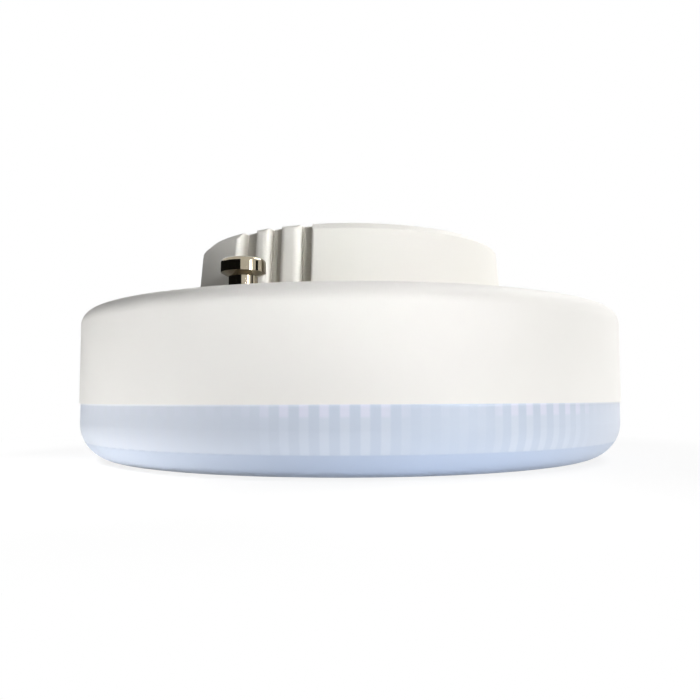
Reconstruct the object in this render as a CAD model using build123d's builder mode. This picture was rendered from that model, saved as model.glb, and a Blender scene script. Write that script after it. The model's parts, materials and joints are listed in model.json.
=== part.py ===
from build123d import *
import os
from math import cos, degrees, hypot, radians, sin, tan

# A twist-in LED disc lamp, standing on its light face. Millimetres and degrees.
# The origin is the middle of the light face, +Z points at the cap, and the contact pins lie on the Y axis.

# Outer form
body_diameter = 75.0
diffuser_height = 7.4
drum_height = 12.1
hub_height = 9.6
shoulder_fillet = 2.0
hub_draft = 4.8
hub_edge_chamfer = 0.8

# Walls of the housing
drum_wall = 1.5
shoulder_wall = 1.8
hub_wall = 1.5

# Contact pins of the cap
pin_spacing = 53.0
pin_head_diameter = 5.2
pin_head_height = 1.6
pin_head_round = 0.45
pin_cone_height = 0.45
pin_neck_diameter = 3.4
pin_neck_height = 2.55
pin_shank_diameter = 3.0
pin_rivet_diameter = 4.2
pin_rivet_height = 0.6
pin_hub_gap = 1.6
pin_boss_wall = 2.5
pin_boss_drop = 2.4

# Finned windows of the hub, one behind each pin, with the two sides of each groove in degrees from the pin
window_count = 2
window_grooves = ((-13.2, -6.9), (-0.7, 3.6), (11.3, 15.4))
window_depth = 1.75
fin_setback = 0.45
fin_round = 0.85
panel_edge_round = 0.4

# Light cover
diffuser_step = 0.15
diffuser_wall = 1.2
diffuser_corner = 4.9
spigot_wall = 0.9
spigot_height = 3.3
spigot_root = 1.3
spigot_clearance = 0.1
snap_height = 0.3
snap_width = 1.0
rib_count = 120
rib_width = 0.9
rib_bottom = 2.5
rib_proud = 0.35

# Light board, its emitters and the spreader behind it
led_board_rise = 3.3
led_board_thickness = 1.0
led_board_edge_gap = 1.2
spreader_thickness = 1.0
spreader_rim = 3.6
spreader_bend = 0.8
spreader_edge_gap = 0.2
led_length = 3.5
led_width = 2.8
led_height = 0.75
led_window_diameter = 2.3
led_window_depth = 0.1
led_ring_counts = (12, 6)
led_edge_margin = 7.0
led_ring_step = 11.0
wire_hole_diameter = 6.0

# Screws of the light board
screw_count = 3
screw_diameter = 2.2
screw_head_diameter = 4.6
screw_head_height = 1.5
screw_head_round = 0.5
screw_bite = 3.6
screw_hole_clearance = 0.25
screw_boss_wall = 1.9
screw_edge_margin = 3.5

# Driver board, hung from two staked posts
driver_board_thickness = 1.2
driver_board_gap = 0.8
driver_board_standoff = 1.0
ear_reach = 3.8
ear_width = 6.0
ear_angle = 30.0
stake_inset = 2.1
stake_diameter = 2.0
stake_pad_diameter = 3.6
stake_head_diameter = 3.2
stake_head_height = 0.8

# Electronic pieces
hub_edge_gap = 1.0
hub_headroom = 0.9
input_capacitor_diameter = 8.0
input_capacitor_angle = 150.0
output_capacitor_diameter = 6.3
output_capacitor_height = 8.0
output_capacitor_angle = 35.0
can_round = 0.6
can_crimp_height = 1.6
can_crimp_depth = 0.3
choke_diameter = 9.0
choke_height = 8.5
choke_flange = 1.3
choke_post_diameter = 4.0
choke_winding_depth = 0.5
choke_angle = -60.0
film_length = 9.0
film_width = 4.5
film_height = 7.0
film_round = 0.6
film_angle = -135.0
resistor_diameter = 3.2
resistor_length = 8.0
resistor_lift = 2.4
resistor_end_round = 0.7
resistor_lead_pitch = 12.0
resistor_lead_diameter = 0.6
resistor_lead_bend = 0.9
resistor_offset = 2.0
rectifier_length = 4.7
rectifier_width = 3.9
rectifier_height = 2.2
rectifier_angle = -115.0
rectifier_circle = 12.0
chip_length = 4.9
chip_width = 3.9
chip_height = 1.5
chip_angle = 0.0
chip_circle = 10.0
chip_chamfer = 0.3

# Wires
mains_wire_diameter = 1.2
mains_wire_floor_gap = 0.6
mains_wire_bend = 0.75
mains_wire_inset = 2.6
led_wire_diameter = 1.0
led_wire_spacing = 2.8
led_wire_bend = 1.2
led_wire_reach = 3.4

# Heights that follow from these
body_radius = body_diameter / 2
seam_z = diffuser_height
shoulder_z = seam_z + drum_height
top_z = shoulder_z + hub_height
shoulder_under_z = shoulder_z - shoulder_wall
hub_under_z = top_z - shoulder_wall
led_board_z = seam_z + led_board_rise
spreader_z = led_board_z + led_board_thickness
spreader_top_z = spreader_z + spreader_thickness
pin_boss_z = shoulder_under_z - pin_boss_drop
driver_top_z = shoulder_under_z - driver_board_standoff
driver_under_z = driver_top_z - driver_board_thickness

# Radii that follow from these
pin_radius = pin_spacing / 2
pin_boss_radius = pin_shank_diameter / 2 + pin_boss_wall
hub_base_radius = pin_radius - pin_head_diameter / 2 - pin_hub_gap
hub_top_radius = hub_base_radius - hub_height * tan(radians(hub_draft))
window_floor_radius = hub_top_radius - window_depth
window_start = window_grooves[0][0]
window_end = window_grooves[-1][1]
hub_inner_radius = window_floor_radius - hub_wall
panel_inner_radius = hub_top_radius - hub_wall
drum_inner_radius = body_radius - drum_wall
diffuser_radius = body_radius - diffuser_step
spigot_radius = drum_inner_radius - spigot_clearance
spigot_inner_radius = spigot_radius - spigot_wall
rib_inner_radius = spigot_inner_radius - rib_proud
led_board_radius = rib_inner_radius - led_board_edge_gap
spreader_radius = drum_inner_radius - spreader_edge_gap
screw_circle = led_board_radius - screw_edge_margin
screw_boss_radius = screw_diameter / 2 + screw_boss_wall
driver_board_radius = pin_radius - pin_boss_radius - driver_board_gap
stake_circle = driver_board_radius + ear_reach - stake_inset


def polar_point(radius, angle):
    """A point on a circle round the lamp's axis."""
    return (radius * cos(radians(angle)), radius * sin(radians(angle)))


def ring_sector(inner_radius, outer_radius, start_angle, end_angle):
    """The outline of one piece of a ring."""
    with BuildSketch() as sector:
        with BuildLine():
            inner = CenterArc((0, 0), inner_radius, start_angle, end_angle - start_angle)
            outer = CenterArc((0, 0), outer_radius, start_angle, end_angle - start_angle)
            Line(inner @ 0, outer @ 0)
            Line(inner @ 1, outer @ 1)
        make_face()
    return sector.sketch


def hub_relief(start_angle, end_angle, depth):
    """What a relief of an even depth takes off the hub's sloping wall between two angles."""
    radial = (*polar_point(1, start_angle), 0)
    across = (*polar_point(1, start_angle - 90), 0)
    with BuildPart() as relief:
        with BuildSketch(Plane((0, 0, 0), x_dir=radial, z_dir=across)):
            with BuildLine():
                Polyline(
                    (hub_base_radius - depth, shoulder_z),
                    (body_radius, shoulder_z),
                    (body_radius, top_z),
                    (hub_top_radius - depth, top_z),
                    close=True,
                )
            make_face()
        revolve(axis=Axis.Z, revolution_arc=end_angle - start_angle)
    return relief.part


def hub_inset(edge):
    """How far the middle of an edge lies inside the hub's plain wall."""
    middle = edge.position_at(0.5)
    wall_radius = hub_base_radius - (middle.Z - shoulder_z) * tan(radians(hub_draft))
    return wall_radius - hypot(middle.X, middle.Y)


# Housing: one white moulding with drum, shoulder, hub, pin bosses, screw bosses and stake posts
pin_angles = [-90 + turn * 360 / window_count for turn in range(window_count)]
with BuildPart() as housing:
    with BuildSketch(Plane.XZ):
        with BuildLine():
            Polyline(
                (0, seam_z),
                (body_radius, seam_z),
                (body_radius, shoulder_z),
                (hub_base_radius, shoulder_z),
                (hub_top_radius, top_z),
                (0, top_z),
                close=True,
            )
        make_face()
    revolve(axis=Axis.Z)
    rims = housing.edges().filter_by(GeomType.CIRCLE)
    fillet(rims.filter_by(lambda rim: rim.radius > drum_inner_radius).sort_by(Axis.Z)[-1], shoulder_fillet)
    chamfer(housing.edges().filter_by(GeomType.CIRCLE).sort_by(Axis.Z)[-1], hub_edge_chamfer)

    # Each window is a shallow relief with deeper grooves in it, and what stays between the grooves is fins.
    for angle in pin_angles:
        add(hub_relief(angle + window_start, angle + window_end, fin_setback), mode=Mode.SUBTRACT)
        for side_a, side_b in window_grooves:
            add(hub_relief(angle + side_a, angle + side_b, window_depth), mode=Mode.SUBTRACT)

    # The fins and the plain panels beside them have rounded upright edges.
    uprights = housing.edges().filter_by(lambda edge: abs(edge.tangent_at(0.5).Z) > cos(radians(2 * hub_draft)))
    fillet(uprights.filter_by(lambda edge: abs(hub_inset(edge) - fin_setback) < fin_setback / 2), fin_round)
    uprights = housing.edges().filter_by(lambda edge: abs(edge.tangent_at(0.5).Z) > cos(radians(2 * hub_draft)))
    fillet(uprights.filter_by(lambda edge: abs(hub_inset(edge)) < fin_setback / 4), panel_edge_round)

    # Inside, the drum is open downwards, and the hub's wall steps inwards behind each window.
    with BuildSketch(Plane.XY.offset(seam_z)):
        Circle(drum_inner_radius)
    extrude(amount=shoulder_under_z - seam_z, mode=Mode.SUBTRACT)
    with BuildSketch(Plane.XY.offset(shoulder_under_z)):
        Circle(panel_inner_radius)
        step_margin = degrees(hub_wall / hub_inner_radius)
        for angle in pin_angles:
            step_start = angle + window_start - step_margin
            step_end = angle + window_end + step_margin
            add(ring_sector(hub_inner_radius, body_radius, step_start, step_end), mode=Mode.SUBTRACT)
    extrude(amount=hub_under_z - shoulder_under_z, mode=Mode.SUBTRACT)

    # The groove round the drum's mouth takes the bead of the light cover.
    with BuildSketch(Plane.XY.offset(seam_z + (spigot_height - snap_width) / 2)):
        Circle(drum_inner_radius + snap_height)
        Circle(drum_inner_radius, mode=Mode.SUBTRACT)
    extrude(amount=snap_width, mode=Mode.SUBTRACT)

    # Bosses hang from the shoulder: two for the pins, three for the screws and two stake posts.
    with BuildSketch(Plane.XY.offset(shoulder_under_z)):
        with PolarLocations(pin_radius, 2, start_angle=90):
            Circle(pin_boss_radius)
    extrude(amount=-pin_boss_drop)
    with BuildSketch(Plane.XY.offset(shoulder_under_z)):
        with PolarLocations(screw_circle, screw_count):
            Circle(screw_boss_radius)
    extrude(amount=spreader_top_z - shoulder_under_z)
    with BuildSketch(Plane.XY.offset(shoulder_under_z)):
        with PolarLocations(stake_circle, 2, start_angle=ear_angle):
            Circle(stake_pad_diameter / 2)
    extrude(amount=-driver_board_standoff)
    with BuildSketch(Plane.XY.offset(driver_top_z)):
        with PolarLocations(stake_circle, 2, start_angle=ear_angle):
            Circle(stake_diameter / 2)
    extrude(amount=-driver_board_thickness)
    with BuildSketch(Plane.XY.offset(driver_under_z)):
        with PolarLocations(stake_circle, 2, start_angle=ear_angle):
            Circle(stake_head_diameter / 2)
    extrude(amount=-stake_head_height)

    # The pins' bores go right through, and the screws' bores stop inside their bosses.
    with BuildSketch(Plane.XY.offset(pin_boss_z)):
        with PolarLocations(pin_radius, 2, start_angle=90):
            Circle(pin_shank_diameter / 2)
    extrude(amount=shoulder_z - pin_boss_z, mode=Mode.SUBTRACT)
    with BuildSketch(Plane.XY.offset(spreader_top_z)):
        with PolarLocations(screw_circle, screw_count):
            Circle(screw_diameter / 2)
    extrude(amount=screw_bite, mode=Mode.SUBTRACT)

# Light cover: a shallow frosted cup with a snap-in spigot and upright ribs round its inner wall
diffuser_inner_radius = diffuser_radius - diffuser_wall
inner_corner = diffuser_corner - diffuser_wall
corner_radius = diffuser_radius - diffuser_corner
spigot_top_z = seam_z + spigot_height
snap_z = seam_z + spigot_height / 2
with BuildPart() as diffuser:
    with BuildSketch(Plane.XZ):
        with BuildLine():
            outside = FilletPolyline(
                (0, 0),
                (diffuser_radius, 0),
                (diffuser_radius, seam_z),
                radius=diffuser_corner,
            )
            spigot = Polyline(
                outside @ 1,
                (spigot_radius, seam_z),
                (spigot_radius, snap_z - snap_width / 2 + spigot_clearance),
                (spigot_radius + snap_height, snap_z),
                (spigot_radius, snap_z + snap_width / 2 - spigot_clearance),
                (spigot_radius, spigot_top_z),
                (spigot_inner_radius, spigot_top_z),
                (spigot_inner_radius, seam_z - spigot_root),
                (diffuser_inner_radius, seam_z - spigot_root),
            )
            inside = Polyline(
                spigot @ 1,
                (diffuser_inner_radius, diffuser_corner),
                (corner_radius + inner_corner * cos(radians(45)), diffuser_corner - inner_corner * sin(radians(45))),
                (corner_radius, diffuser_wall),
                (0, diffuser_wall),
            )
            Line(inside @ 1, outside @ 0)
        make_face()
    revolve(axis=Axis.Z)
    rib_depth = diffuser_inner_radius + diffuser_wall / 2 - rib_inner_radius
    with BuildSketch(Plane.XY.offset(rib_bottom)):
        with PolarLocations(rib_inner_radius + rib_depth / 2, rib_count):
            Rectangle(rib_depth, rib_width)
    extrude(amount=seam_z - rib_bottom)

# Contact pins: turned pins with a wide head, seated on the shoulder and riveted under their boss
pin_cone_z = shoulder_z + pin_neck_height
pin_head_z = pin_cone_z + pin_cone_height
pin_names = ["contact_pin_front", "contact_pin_rear"]
pins = []
for pin_name, pin_side in zip(pin_names, (-1, 1)):
    with BuildPart() as pin:
        with BuildSketch(Plane.XZ.offset(-pin_side * pin_radius)):
            with BuildLine():
                Polyline(
                    (0, pin_boss_z - pin_rivet_height),
                    (pin_rivet_diameter / 2, pin_boss_z - pin_rivet_height),
                    (pin_rivet_diameter / 2, pin_boss_z),
                    (pin_shank_diameter / 2, pin_boss_z),
                    (pin_shank_diameter / 2, shoulder_z),
                    (pin_neck_diameter / 2, shoulder_z),
                    (pin_neck_diameter / 2, pin_cone_z),
                    (pin_head_diameter / 2, pin_head_z),
                    (pin_head_diameter / 2, pin_head_z + pin_head_height),
                    (0, pin_head_z + pin_head_height),
                    close=True,
                )
            make_face()
        revolve(axis=Axis((0, pin_side * pin_radius, 0), (0, 0, 1)))
        fillet(pin.edges().filter_by(GeomType.CIRCLE).sort_by(Axis.Z)[-1], pin_head_round)
    pin.part.label = pin_name
    pins.append(pin.part)

# Spreader: a drawn aluminium dish whose rim lies along the drum's wall
with BuildPart() as heat_spreader:
    with BuildSketch(Plane.XZ):
        with BuildLine():
            Polyline(
                (0, spreader_z),
                (spreader_radius, spreader_z),
                (spreader_radius, spreader_top_z + spreader_rim),
                (spreader_radius - spreader_thickness, spreader_top_z + spreader_rim),
                (spreader_radius - spreader_thickness, spreader_top_z),
                (0, spreader_top_z),
                close=True,
            )
        make_face()
    revolve(axis=Axis.Z)
    bends = heat_spreader.edges().filter_by(GeomType.CIRCLE)
    fillet(bends.sort_by(Axis.Z)[0], spreader_bend + spreader_thickness)
    bends = heat_spreader.edges().filter_by(GeomType.CIRCLE)
    inner_bend = bends.filter_by(lambda bend: abs(bend.center().Z - spreader_top_z) < spreader_thickness / 10)
    fillet(inner_bend, spreader_bend)
    with Locations((0, 0, spreader_top_z)):
        Hole(wire_hole_diameter / 2)
        with PolarLocations(screw_circle, screw_count):
            Hole(screw_diameter / 2 + screw_hole_clearance)

# Light board, with the same holes
with BuildPart() as led_board:
    with BuildSketch(Plane.XY.offset(led_board_z)):
        Circle(led_board_radius)
        Circle(wire_hole_diameter / 2, mode=Mode.SUBTRACT)
        with PolarLocations(screw_circle, screw_count):
            Circle(screw_diameter / 2 + screw_hole_clearance, mode=Mode.SUBTRACT)
    extrude(amount=led_board_thickness)

# Emitters: two rings of small packages that hang from the light board, each with a sunk round window
leds = []
for ring_number, led_count in enumerate(led_ring_counts):
    led_circle = led_board_radius - led_edge_margin - led_ring_step * ring_number
    for place in PolarLocations(led_circle, led_count, start_angle=180 / led_count).locations:
        with BuildPart() as led:
            with BuildSketch(Plane(place).offset(led_board_z)):
                Rectangle(led_width, led_length)
            extrude(amount=-led_height)
            with BuildSketch(led.faces().sort_by(Axis.Z)[0]):
                Circle(led_window_diameter / 2)
            extrude(amount=-led_window_depth, mode=Mode.SUBTRACT)
        led.part.label = f"led_{len(leds) + 1:02d}"
        leds.append(led.part)

# Screws: three like pan heads under the light board
with BuildPart() as board_screws:
    with BuildSketch(Plane.XY.offset(led_board_z)):
        with PolarLocations(screw_circle, screw_count):
            Circle(screw_head_diameter / 2)
    extrude(amount=-screw_head_height)
    fillet(board_screws.edges().group_by(Axis.Z)[0], screw_head_round)
    with BuildSketch(Plane.XY.offset(led_board_z)):
        with PolarLocations(screw_circle, screw_count):
            Circle(screw_diameter / 2)
    extrude(amount=spreader_top_z + screw_bite - led_board_z)

# Driver board: a disc with two ears on the staked posts
with BuildPart() as driver_board:
    with BuildSketch(Plane.XY.offset(driver_under_z)):
        Circle(driver_board_radius)
        with Locations(Rot(0, 0, ear_angle)):
            RectangleRounded(2 * (driver_board_radius + ear_reach), ear_width, ear_width / 3)
        with PolarLocations(stake_circle, 2, start_angle=ear_angle):
            Circle(stake_diameter / 2, mode=Mode.SUBTRACT)
    extrude(amount=driver_board_thickness)


def can(label, diameter, height, angle):
    """A round capacitor that stands on the driver board, with a crimp above its foot."""
    middle = polar_point(hub_inner_radius - hub_edge_gap - diameter / 2, angle)
    radius = diameter / 2
    with BuildPart() as body:
        with BuildSketch(Plane((*middle, driver_top_z), x_dir=(1, 0, 0), z_dir=(0, -1, 0))):
            with BuildLine():
                Polyline(
                    (0, 0),
                    (radius, 0),
                    (radius, can_crimp_height - can_crimp_depth),
                    (radius - can_crimp_depth, can_crimp_height),
                    (radius, can_crimp_height + can_crimp_depth),
                    (radius, height),
                    (0, height),
                    close=True,
                )
            make_face()
        revolve(axis=Axis((*middle, 0), (0, 0, 1)))
        fillet(body.edges().filter_by(GeomType.CIRCLE).sort_by(Axis.Z)[-1], can_round)
    body.part.label = label
    return body.part


hub_room = hub_under_z - driver_top_z - hub_headroom
input_capacitor = can("input_capacitor", input_capacitor_diameter, hub_room, input_capacitor_angle)
output_capacitor = can(
    "output_capacitor", output_capacitor_diameter, output_capacitor_height, output_capacitor_angle
)

# Choke: a ferrite reel with its copper winding
choke_middle = polar_point(hub_inner_radius - hub_edge_gap - choke_diameter / 2, choke_angle)
choke_plane = Plane((choke_middle[0], choke_middle[1], driver_top_z))
winding_height = choke_height - 2 * choke_flange
with BuildPart(choke_plane) as choke_core:
    Cylinder(choke_diameter / 2, choke_flange, align=(Align.CENTER, Align.CENTER, Align.MIN))
    Cylinder(choke_post_diameter / 2, choke_height, align=(Align.CENTER, Align.CENTER, Align.MIN))
    with Locations((0, 0, choke_flange + winding_height)):
        Cylinder(choke_diameter / 2, choke_flange, align=(Align.CENTER, Align.CENTER, Align.MIN))
with BuildPart() as choke_winding:
    with BuildSketch(choke_plane.offset(choke_flange)):
        Circle(choke_diameter / 2 - choke_winding_depth)
        Circle(choke_post_diameter / 2, mode=Mode.SUBTRACT)
    extrude(amount=winding_height)

# Film capacitor: a small moulded block
film_middle = polar_point(hub_inner_radius - hub_edge_gap - hypot(film_length, film_width) / 2, film_angle)
with BuildPart(Plane((film_middle[0], film_middle[1], driver_top_z))) as film_capacitor:
    Box(film_length, film_width, film_height, align=(Align.CENTER, Align.CENTER, Align.MIN))
    fillet(film_capacitor.edges().filter_by(Axis.Z), film_round)

# Fusible resistor: a round body on a bent lead whose ends stand on the driver board
with BuildPart() as fuse_resistor:
    with BuildLine(Plane.XZ.offset(-resistor_offset)) as lead_path:
        FilletPolyline(
            (-resistor_lead_pitch / 2, driver_top_z),
            (-resistor_lead_pitch / 2, driver_top_z + resistor_lift),
            (resistor_lead_pitch / 2, driver_top_z + resistor_lift),
            (resistor_lead_pitch / 2, driver_top_z),
            radius=resistor_lead_bend,
        )
    with BuildSketch(Plane(lead_path.line @ 0, z_dir=lead_path.line % 0)):
        Circle(resistor_lead_diameter / 2)
    sweep(path=lead_path.line)
    with BuildSketch(Plane.YZ.offset(-resistor_length / 2)):
        with Locations((resistor_offset, driver_top_z + resistor_lift)):
            Circle(resistor_diameter / 2)
    extrude(amount=resistor_length)
    ends = fuse_resistor.edges().filter_by(GeomType.CIRCLE)
    fillet(ends.filter_by(lambda end: end.radius > resistor_lead_diameter), resistor_end_round)

# Rectifier and driver chip: moulded packages under the driver board
rectifier_middle = polar_point(rectifier_circle, rectifier_angle)
with BuildPart(Plane((rectifier_middle[0], rectifier_middle[1], driver_under_z))) as bridge_rectifier:
    Box(rectifier_length, rectifier_width, rectifier_height, align=(Align.CENTER, Align.CENTER, Align.MAX))
    chamfer(bridge_rectifier.faces().sort_by(Axis.Z)[0].edges(), chip_chamfer)
chip_middle = polar_point(chip_circle, chip_angle)
with BuildPart(Plane((chip_middle[0], chip_middle[1], driver_under_z))) as driver_chip:
    Box(chip_length, chip_width, chip_height, align=(Align.CENTER, Align.CENTER, Align.MAX))
    chamfer(driver_chip.faces().sort_by(Axis.Z)[0].edges(), chip_chamfer)


def wire(label, plane, corners, bend, diameter):
    """A round insulated wire along straight runs that are joined by tangent arcs."""
    with BuildPart() as run:
        with BuildLine(plane) as route:
            FilletPolyline(*corners, radius=bend)
        with BuildSketch(Plane(route.line @ 0, z_dir=route.line % 0)):
            Circle(diameter / 2)
        sweep(path=route.line)
    run.part.label = label
    return run.part


# Mains wires: from the riveted foot of each pin, inwards over the spreader and up to the driver board
pin_foot_z = pin_boss_z - pin_rivet_height
mains_run_z = spreader_top_z + mains_wire_floor_gap + mains_wire_diameter / 2
mains_end_radius = driver_board_radius - mains_wire_inset
mains_wires = []
for wire_name, wire_side in zip(("mains_wire_front", "mains_wire_rear"), (-1, 1)):
    mains_corners = [
        (wire_side * pin_radius, pin_foot_z),
        (wire_side * pin_radius, mains_run_z),
        (wire_side * mains_end_radius, mains_run_z),
        (wire_side * mains_end_radius, driver_under_z),
    ]
    mains_wires.append(wire(wire_name, Plane.YZ, mains_corners, mains_wire_bend, mains_wire_diameter))

# Wires to the light board: down through its middle hole and out along its underside
led_run_z = led_board_z - led_wire_diameter / 2
led_wires = []
for wire_name, wire_side in zip(("led_wire_left", "led_wire_right"), (-1, 1)):
    led_wire_x = wire_side * led_wire_spacing / 2
    led_corners = [
        (led_wire_x, driver_under_z),
        (led_wire_x, led_run_z),
        (led_wire_x + wire_side * led_wire_reach, led_run_z),
    ]
    led_wires.append(wire(wire_name, Plane.XZ, led_corners, led_wire_bend, led_wire_diameter))

housing.part.label = "housing"
diffuser.part.label = "diffuser"
heat_spreader.part.label = "heat_spreader"
led_board.part.label = "led_board"
board_screws.part.label = "board_screws"
driver_board.part.label = "driver_board"
choke_core.part.label = "choke_core"
choke_winding.part.label = "choke_winding"
film_capacitor.part.label = "film_capacitor"
fuse_resistor.part.label = "fuse_resistor"
bridge_rectifier.part.label = "bridge_rectifier"
driver_chip.part.label = "driver_chip"

os.makedirs("parts", exist_ok=True)
pieces = [
    housing.part,
    diffuser.part,
    *pins,
    heat_spreader.part,
    led_board.part,
    *leds,
    board_screws.part,
    driver_board.part,
    input_capacitor,
    output_capacitor,
    choke_core.part,
    choke_winding.part,
    film_capacitor.part,
    fuse_resistor.part,
    bridge_rectifier.part,
    driver_chip.part,
    *mains_wires,
    *led_wires,
]
for piece in pieces:
    export_step(piece, f"parts/{piece.label}.step")
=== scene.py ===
# %% [markdown]
# # A twist-in LED disc lamp
# The lamp is a white plastic drum with a smaller hub on top, two bright contact pins beside the hub and
# a frosted light cover underneath. Its solids come from the CAD frame, which stays exactly where it is.
# This lesson gives every surface its finish and sets up the floor, the light and the camera.

# %% Load the frame
import json
from math import cos, radians, sin

import bmesh
import bpy
from mathutils import Matrix, Vector


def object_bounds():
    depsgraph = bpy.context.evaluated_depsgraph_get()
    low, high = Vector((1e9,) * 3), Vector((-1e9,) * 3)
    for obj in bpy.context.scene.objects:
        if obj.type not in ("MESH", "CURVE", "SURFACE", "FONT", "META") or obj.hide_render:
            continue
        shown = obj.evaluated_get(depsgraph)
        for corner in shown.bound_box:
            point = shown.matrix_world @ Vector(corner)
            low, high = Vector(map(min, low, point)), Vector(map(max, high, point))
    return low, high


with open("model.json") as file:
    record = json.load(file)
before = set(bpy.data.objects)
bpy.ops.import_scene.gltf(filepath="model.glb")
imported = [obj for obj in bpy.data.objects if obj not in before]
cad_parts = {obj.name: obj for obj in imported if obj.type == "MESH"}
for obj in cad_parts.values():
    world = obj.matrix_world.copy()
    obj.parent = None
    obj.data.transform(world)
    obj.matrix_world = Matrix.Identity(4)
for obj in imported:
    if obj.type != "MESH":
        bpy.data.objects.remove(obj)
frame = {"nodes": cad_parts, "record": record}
size_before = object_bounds()
print("nodes loaded:", len(frame["nodes"]))

# %% [markdown]
# ## Shader maths that reads like maths
# A finish is a small network of nodes. Wiring it link by link hides the idea, so one class wraps a socket
# and lets plain Python signs add the Math nodes. A second class holds one material and adds any other node:
# its settings first, then the values or links of its sockets.


# %% A socket with arithmetic
class Wire:
    """An output socket of a shader node that plain arithmetic can work on."""

    def __init__(self, finish, socket):
        self.finish = finish
        self.socket = socket

    def maths(self, operation, *values):
        numbered = {f"_{place}": value for place, value in enumerate(values)}
        return self.finish.add("ShaderNodeMath", {"operation": operation}, **numbered)

    def beside(self, name):
        """Another output of the same node."""
        return Wire(self.finish, self.socket.node.outputs[name])

    def __add__(self, other):
        return self.maths("ADD", self, other)

    def __sub__(self, other):
        return self.maths("SUBTRACT", self, other)

    def __mul__(self, other):
        return self.maths("MULTIPLY", self, other)

    def __rsub__(self, other):
        return self.maths("SUBTRACT", other, self)

    __radd__ = __add__
    __rmul__ = __mul__


# %% A network with one way to add a node
class Finish:
    """The node network of one material or of the world."""

    def __init__(self, owner):
        owner.use_nodes = True
        self.owner = owner
        self.tree = owner.node_tree
        self.tree.nodes.clear()

    def add(self, kind, settings=None, output=0, **sockets):
        """Adds a node: settings first, then socket values or links, by name or as _0, _1 by number."""
        node = self.tree.nodes.new(kind)
        for name, value in (settings or {}).items():
            setattr(node, name, value)
        for name, value in sockets.items():
            key = int(name[1:]) if name[1:].isdigit() else name.replace("_", " ")
            if isinstance(value, Wire):
                self.tree.links.new(value.socket, node.inputs[key])
            else:
                node.inputs[key].default_value = value
        return Wire(self, node.outputs[output]) if node.outputs else None

    def mix(self, factor, first, second):
        """Blends two colours."""
        return self.add("ShaderNodeMix", {"data_type": "RGBA"}, output=2, _0=factor, _6=first, _7=second)

    def between(self, value, low, high):
        """0 at low, 1 at high and a soft ramp in between."""
        soft = {"interpolation_type": "SMOOTHSTEP"}
        return self.add("ShaderNodeMapRange", soft, Value=value, From_Min=low, From_Max=high)

    def place(self):
        """The point being shaded, in millimetres of the lamp's own frame, and its three numbers."""
        metres = self.add("ShaderNodeTexCoord", output="Object")
        point = self.add("ShaderNodeVectorMath", {"operation": "SCALE"}, _0=metres, Scale=1000.0)
        x = self.add("ShaderNodeSeparateXYZ", _0=point)
        return point, x, x.beside("Y"), x.beside("Z")

    def noise(self, point, scale, detail=2.0):
        """A soft random value round 0.5 with a given number of lumps per millimetre."""
        return self.add("ShaderNodeTexNoise", output="Fac", Vector=point, Scale=scale, Detail=detail)

    def bump(self, height, strength, distance):
        """A normal that leans as if the surface rose by a height, over a distance in metres."""
        return self.add(
            "ShaderNodeBump", output="Normal", Height=height, Strength=strength, Distance=distance
        )

    def surface(self, shader):
        """Ends the network with a shader and hands back its material or world."""
        kind = "World" if isinstance(self.owner, bpy.types.World) else "Material"
        self.add(f"ShaderNodeOutput{kind}", Surface=shader)
        return self.owner


def rgb(red, green, blue):
    return (red, green, blue, 1.0)


# %% [markdown]
# ## White moulded plastic
# The housing is one injection moulding in a warm white. Such a surface is matt, with a very fine grain and
# barely visible clouds where the melt cooled unevenly. Two noise textures give both: a coarse one leans the
# colour and the gloss, and a fine one goes into the bump. Light is painted into the hub's white too: a
# slight warm tint over the whole hub stands in for warm bounce light, and painted shade greys the grooves
# between its fins. A mask by depth places that shade: the white is greyer the deeper a point lies inside the
# hub's sloping wall.

# %% Housing finish
hub_foot = 19.5
hub_top = size_before[1][2] * 1000
hub_foot_radius = 22.3
hub_lean = 0.084


def white_plastic():
    finish = Finish(bpy.data.materials.new("white_plastic"))
    point, x, y, z = finish.place()
    sunk = hub_foot_radius - (z - hub_foot) * hub_lean - x.maths("SQRT", x * x + y * y)
    above_foot = finish.between(z, hub_foot + 0.1, hub_foot + 0.5)
    below_top = finish.between(z, hub_top - 0.05, hub_top - 0.2)
    on_hub = above_foot * below_top
    # Painted shade: the white turns greyer and warmer the deeper a point sits in the grooves between the
    # fins.
    painted_groove_shade = finish.between(sunk, 0.7, 1.5) * on_hub
    clouds = finish.noise(point, 0.09)
    grain = finish.noise(point, 9.0, 1.0)
    white_mix = finish.mix(clouds, rgb(0.895, 0.878, 0.84), rgb(0.93, 0.914, 0.878))
    # Painted light: a slight warm tint over the hub stands in for warm bounce light.
    painted_warm_bounce = finish.mix(on_hub * 0.5, white_mix, rgb(0.93, 0.91, 0.84))
    # The grey mixed in here is the painted shade in the grooves.
    colour = finish.mix(painted_groove_shade, painted_warm_bounce, rgb(0.66, 0.635, 0.57))
    shader = finish.add(
        "ShaderNodeBsdfPrincipled",
        Base_Color=colour,
        Roughness=0.52 + clouds * 0.12,
        Normal=finish.bump(grain, 0.05, 0.00002),
    )
    return finish.surface(shader)


housing_finish = white_plastic()
print("finish:", housing_finish.name)

# %% [markdown]
# ## Frosted light cover
# The cover is frosted plastic with a cold tint. A ring of upright ribs stands on its inner wall, and the
# light seen through them shows as light bars down to where the wall turns into the rounded edge. A solid
# with true rough glass is slow and grainy to render, so these bars are painted light, worked out from the
# angle round the axis with the same pitch as the solid ribs, and painted brighter at the top, where the wall
# is thicker. Slow waves round the cover paint how the light plays on it: the bars show clearly in some
# stretches only, the cover is whiter where the slowest wave is low, and there a painted highlight runs along
# the top edge.

# %% Light cover finish
rib_count = 120
rib_foot = 2.55
rib_head = 6.1
seam = 7.4


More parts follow.
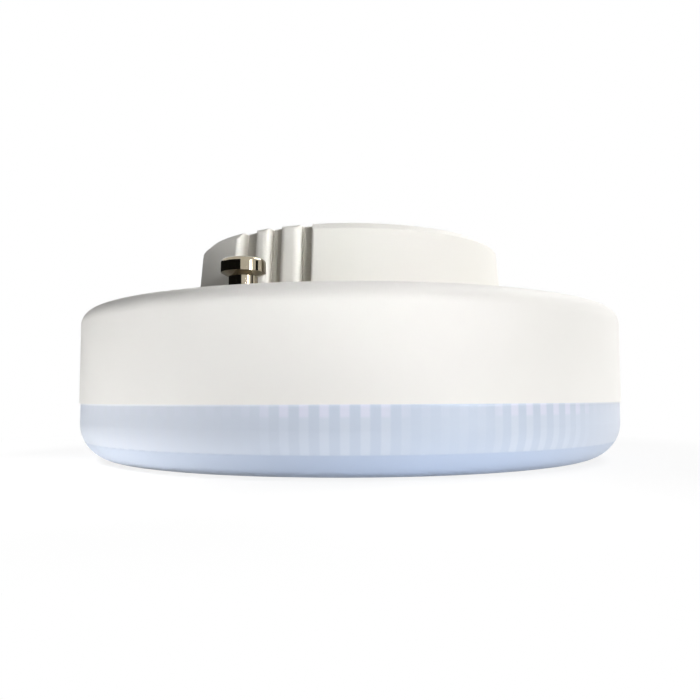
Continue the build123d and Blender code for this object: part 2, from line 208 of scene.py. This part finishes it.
def frosted_plastic():
    finish = Finish(bpy.data.materials.new("frosted_plastic"))
    point, x, y, z = finish.place()
    turn = x.maths("ARCTAN2", y, x)

    def wave(count, peak):
        """Swings between 0 and 1 a number of times round the cover, with a peak at an angle in degrees."""
        return 0.5 + x.maths("COSINE", (turn - radians(peak)) * count) * 0.5

    # Painted light bars: one per inner rib, standing in for light seen through the ribs.
    painted_light_bars = finish.between(wave(rib_count, 0.0), 0.35, 0.75)
    # Painted light: slow waves round the cover set where the bars show clearly and where the cover turns
    # whiter.
    painted_light_wave = wave(3, -47.0)
    painted_bar_strength = finish.between(wave(9, -67.0) * painted_light_wave, 0.1, 0.6)
    wall = finish.between(z, rib_foot - 0.12, rib_foot + 0.12)
    top = finish.between(z, rib_head - 0.1, rib_head + 0.3)
    # Painted highlight along the cover's top edge, strongest where the slow wave is low.
    painted_rim_highlight = finish.between(z, seam - 0.25, seam - 0.05)
    clouds = finish.noise(point, 0.05)
    grain = finish.noise(point, 7.0, 1.0)
    plain = finish.mix(painted_light_wave, rgb(0.77, 0.82, 0.91), rgb(0.655, 0.74, 0.88))
    # The bars are painted brighter towards the top.
    painted_bar_colour = finish.mix(top, rgb(0.74, 0.81, 0.93), rgb(0.82, 0.85, 0.99))
    side = finish.mix(painted_light_bars * (0.15 + painted_bar_strength * 0.85), plain, painted_bar_colour)
    side = finish.mix(painted_rim_highlight * (0.8 - painted_light_wave * 0.8), side, rgb(0.92, 0.93, 0.94))
    band = finish.mix(painted_light_wave, rgb(0.64, 0.71, 0.83), rgb(0.56, 0.66, 0.84))
    shader = finish.add(
        "ShaderNodeBsdfPrincipled",
        Base_Color=finish.mix(wall, band, side),
        Roughness=0.40 + clouds * 0.1,
        IOR=1.45,
        Transmission_Weight=0.12,
        Normal=finish.bump(grain, 0.08, 0.00003),
    )
    return finish.surface(shader)


cover_finish = frosted_plastic()
print("finish:", cover_finish.name)

# %% [markdown]
# ## Bright nickel
# The pins are turned brass with a bright plate. Polished metal shows little colour of its own and much of
# its surroundings, so the finish is mostly low roughness, with the faint rings that a turning tool leaves.
# Rings cut into the mesh would be far too fine, so a sine of the height goes into the bump.


# %% Pin finish
def bright_nickel():
    finish = Finish(bpy.data.materials.new("bright_nickel"))
    point, _, _, z = finish.place()
    rings = z.maths("SINE", z * 60.0)
    stains = finish.noise(point, 0.8)
    shader = finish.add(
        "ShaderNodeBsdfPrincipled",
        Base_Color=finish.mix(stains, rgb(0.35, 0.305, 0.225), rgb(0.44, 0.39, 0.30)),
        Metallic=1.0,
        Roughness=0.03 + stains * 0.05,
        Normal=finish.bump(rings, 0.06, 0.00001),
    )
    return finish.surface(shader)


pin_finish = bright_nickel()
print("finish:", pin_finish.name)

# %% [markdown]
# ## The pieces inside
# Boards, emitters, cans and wires are closed in by the housing, and each still gets a finish of its own
# kind. They differ in colour, gloss and metal only, so one function makes them all from the record's own
# colours. The light board is aluminium under white lacquer, so it is finished like plastic.


# %% Inner finishes
def inner_finish(slot, colour, is_metal):
    finish = Finish(bpy.data.materials.new(slot))
    point = finish.place()[0]
    clouds = finish.noise(point, 0.4)
    grain = finish.noise(point, 12.0, 1.0)
    dark = rgb(*(0.85 * part for part in colour))
    shader = finish.add(
        "ShaderNodeBsdfPrincipled",
        Base_Color=finish.mix(clouds, dark, rgb(*colour)),
        Metallic=1.0 if is_metal else 0.0,
        Roughness=(0.35 if is_metal else 0.5) + clouds * 0.1,
        Normal=finish.bump(grain, 0.08, 0.00002),
    )
    return finish.surface(shader)


metal_classes = ("aluminium", "brushed_steel", "brass")
lacquered = "white_board"
finishes = {
    "white_plastic": housing_finish,
    "frosted_plastic": cover_finish,
    "bright_nickel": pin_finish,
}
for material in frame["record"]["materials"]:
    slot = material["slot"]
    if slot not in finishes:
        is_metal = material["class"] in metal_classes and slot != lacquered
        finishes[slot] = inner_finish(slot, material["base_color"][:3], is_metal)
for part in frame["record"]["subparts"]:
    node = frame["nodes"][part["node"]]
    node.data.materials.clear()
    node.data.materials.append(finishes[part["material_slot"]])
print("finishes:", len(finishes))

# %% [markdown]
# ## White surroundings
# The lamp stands on plain white paper that runs on into a white background. Lighting real paper until it
# is pure white would also burn out the white lamp. So the world and the floor are white only where the
# camera or a reflection looks at them, the floor a little less so close to the lamp, where its shadow falls.
# To all other light the world is dim and the floor is matt paper.

# %% World
white = rgb(1.0, 1.0, 1.0)
world_fill = 0.075
world = bpy.data.worlds.new("studio")
bpy.context.scene.world = world
studio = Finish(world)
camera_ray = studio.add("ShaderNodeLightPath", output="Is Camera Ray")
seen = camera_ray
for ray in ("Is Glossy Ray", "Is Transmission Ray"):
    seen = seen.maths("MAXIMUM", seen, camera_ray.beside(ray))
strength = world_fill + seen * (1 - world_fill)
studio.surface(studio.add("ShaderNodeBackground", Color=white, Strength=strength))
print("world fill:", world_fill)

# %% Floor
floor_radius = 6.0
floor_drop = 0.00005
shadow_start = 40.0
shadow_end = 75.0


def pale_floor():
    finish = Finish(bpy.data.materials.new("pale_floor"))
    point, x, y, _ = finish.place()
    speckle = finish.noise(point, 0.5)
    paper_colour = finish.mix(speckle, rgb(0.93, 0.93, 0.93), rgb(0.95, 0.95, 0.95))
    paper = finish.add("ShaderNodeBsdfDiffuse", Color=paper_colour)
    glow = finish.add("ShaderNodeEmission", Color=white, Strength=1.0)
    camera_ray = finish.add("ShaderNodeLightPath", output="Is Camera Ray")
    shown = camera_ray.maths("MAXIMUM", camera_ray, camera_ray.beside("Is Glossy Ray"))
    away = finish.between(x.maths("SQRT", x * x + y * y), shadow_start, shadow_end)
    glow_share = shown * (0.85 + away * 0.15)
    return finish.surface(finish.add("ShaderNodeMixShader", _0=glow_share, _1=paper, _2=glow))


floor_mesh = bpy.data.meshes.new("floor")
floor_shape = bmesh.new()
bmesh.ops.create_circle(floor_shape, cap_ends=True, segments=96, radius=floor_radius)
floor_shape.to_mesh(floor_mesh)
floor_shape.free()
floor = bpy.data.objects.new("floor", floor_mesh)
floor.location.z = -floor_drop
bpy.context.scene.collection.objects.link(floor)
floor_mesh.materials.append(pale_floor())
print("floor radius:", floor_radius)

# %% [markdown]
# ## Panels
# Soft round panels stand in for studio lamps. A low one on the right shapes the drum, a high one further
# round reaches the upper faces, a small narrow one in front picks out the fins and a large one at the rear
# keeps the far side bright. Places are given by the angle to the right of the camera, because that is how a
# photographer would set them up.

# %% Directions round the lamp
view_angle = -62.2


def around(angle, distance, height):
    """A point at an angle to the right of the camera, a distance from the axis and a height, in metres."""
    turn = radians(view_angle + angle)
    return Vector((distance * cos(turn), distance * sin(turn), height))


print("camera side:", tuple(round(part, 3) for part in around(0, 1, 0)))


# %% Lamps
def soft_panel(name, place, aim, size, watts, spread=180):
    """A round panel that shines at a point, within a cone of some degrees."""
    data = bpy.data.lights.new(name, "AREA")
    data.shape = "DISK"
    data.size = size
    data.energy = watts
    data.spread = radians(spread)
    panel = bpy.data.objects.new(name, data)
    panel.location = place
    panel.rotation_euler = (aim - place).to_track_quat("-Z", "Y").to_euler()
    bpy.context.scene.collection.objects.link(panel)
    return panel


lamp_middle = Vector((0, 0, 0.015))
fins = around(-42, 0.020, 0.031)
panels = (
    soft_panel("key_panel", around(44, 0.55, 0.06), lamp_middle, 0.14, 1.28),
    soft_panel("high_panel", around(112, 0.40, 0.49), lamp_middle, 0.30, 2.1),
    soft_panel("front_panel", around(20, 0.20, 0.030), fins, 0.02, 0.0016, 18),
    soft_panel("rear_panel", around(165, 0.50, 0.30), lamp_middle, 0.35, 0.48),
)
print("panels:", [panel.name for panel in panels])

# %% [markdown]
# ## Light from the floor
# White paper throws light back up at the cover and the drum. A brighter floor would give that from all
# sides alike, so three panels that light the floor alone place it where it is wanted. The drum's shoulder
# keeps most of it off the hub, and only the hub's left end still gets some.

# %% Floor lamps
floor_only = bpy.data.collections.new("lit_by_floor_panels")
floor_only.objects.link(floor)
floor_panels = (
    soft_panel("near_floor_panel", around(-48, 0.11, 0.10), around(-48, 0.066, 0), 0.02, 0.018, 36),
    soft_panel("front_floor_panel", around(10, 0.10, 0.09), around(10, 0.05, 0), 0.02, 0.0035, 36),
    soft_panel("left_floor_panel", around(-92, 0.11, 0.10), around(-92, 0.068, 0), 0.05, 0.017, 70),
)
for panel in floor_panels:
    panel.light_linking.receiver_collection = floor_only

# %% [markdown]
# ## Dark cards
# Bright metal in white surroundings looks flat. Photographers stand dark cards beside it, which show in the
# metal as dark streaks. Two low curved cards, unseen by the camera, do that for the pins.

# %% Cards
card_distance = 0.30
card_foot = 0.002
card_top = 0.12
card_steps = 24


def dark_card(name, first, last):
    """A curved black card that stands between two angles, unseen by the camera."""
    shape = bmesh.new()
    columns = []
    for step in range(card_steps + 1):
        angle = first + (last - first) * step / card_steps
        ends = [around(angle, card_distance, height) for height in (card_foot, card_top)]
        columns.append([shape.verts.new(end) for end in ends])
    for left, right in zip(columns, columns[1:]):
        shape.faces.new((left[0], right[0], right[1], left[1]))
    mesh = bpy.data.meshes.new(name)
    shape.to_mesh(mesh)
    shape.free()
    card = bpy.data.objects.new(name, mesh)
    bpy.context.scene.collection.objects.link(card)
    finish = Finish(bpy.data.materials.new(name))
    point = finish.place()[0]
    felt = finish.mix(finish.noise(point, 0.2), rgb(0.012, 0.012, 0.012), rgb(0.02, 0.02, 0.02))
    mesh.materials.append(finish.surface(finish.add("ShaderNodeBsdfDiffuse", Color=felt)))
    card.visible_camera = False
    return card


left_card = dark_card("left_card", -8, -165)
right_card = dark_card("right_card", 68, 84)
print("cards:", left_card.name, right_card.name)

# %% [markdown]
# ## Camera
# The picture was taken from very near, with the lens about level with the seam between housing and cover
# and tipped a little upwards. A wide lens at ten centimetres gives the same strong curve to the rims, which
# a long lens from further off would flatten.

# %% Camera
camera_distance = 0.10297
camera_height = 0.0081
camera_tilt = 3.9
camera_roll = -0.2
camera_data = bpy.data.cameras.new("camera")
camera_data.sensor_width = 36.0
camera_data.lens = 35.53
camera_data.clip_start = 0.005
camera = bpy.data.objects.new("camera", camera_data)
camera.matrix_world = (
    Matrix.Translation(around(0, camera_distance, camera_height))
    @ Matrix.Rotation(radians(view_angle + 90), 4, "Z")
    @ Matrix.Rotation(radians(90 + camera_tilt), 4, "X")
    @ Matrix.Rotation(radians(camera_roll), 4, "Z")
)
bpy.context.scene.collection.objects.link(camera)
bpy.context.scene.camera = camera
bpy.context.scene.view_settings.view_transform = "Standard"
print("camera at", tuple(round(part, 4) for part in camera.location))
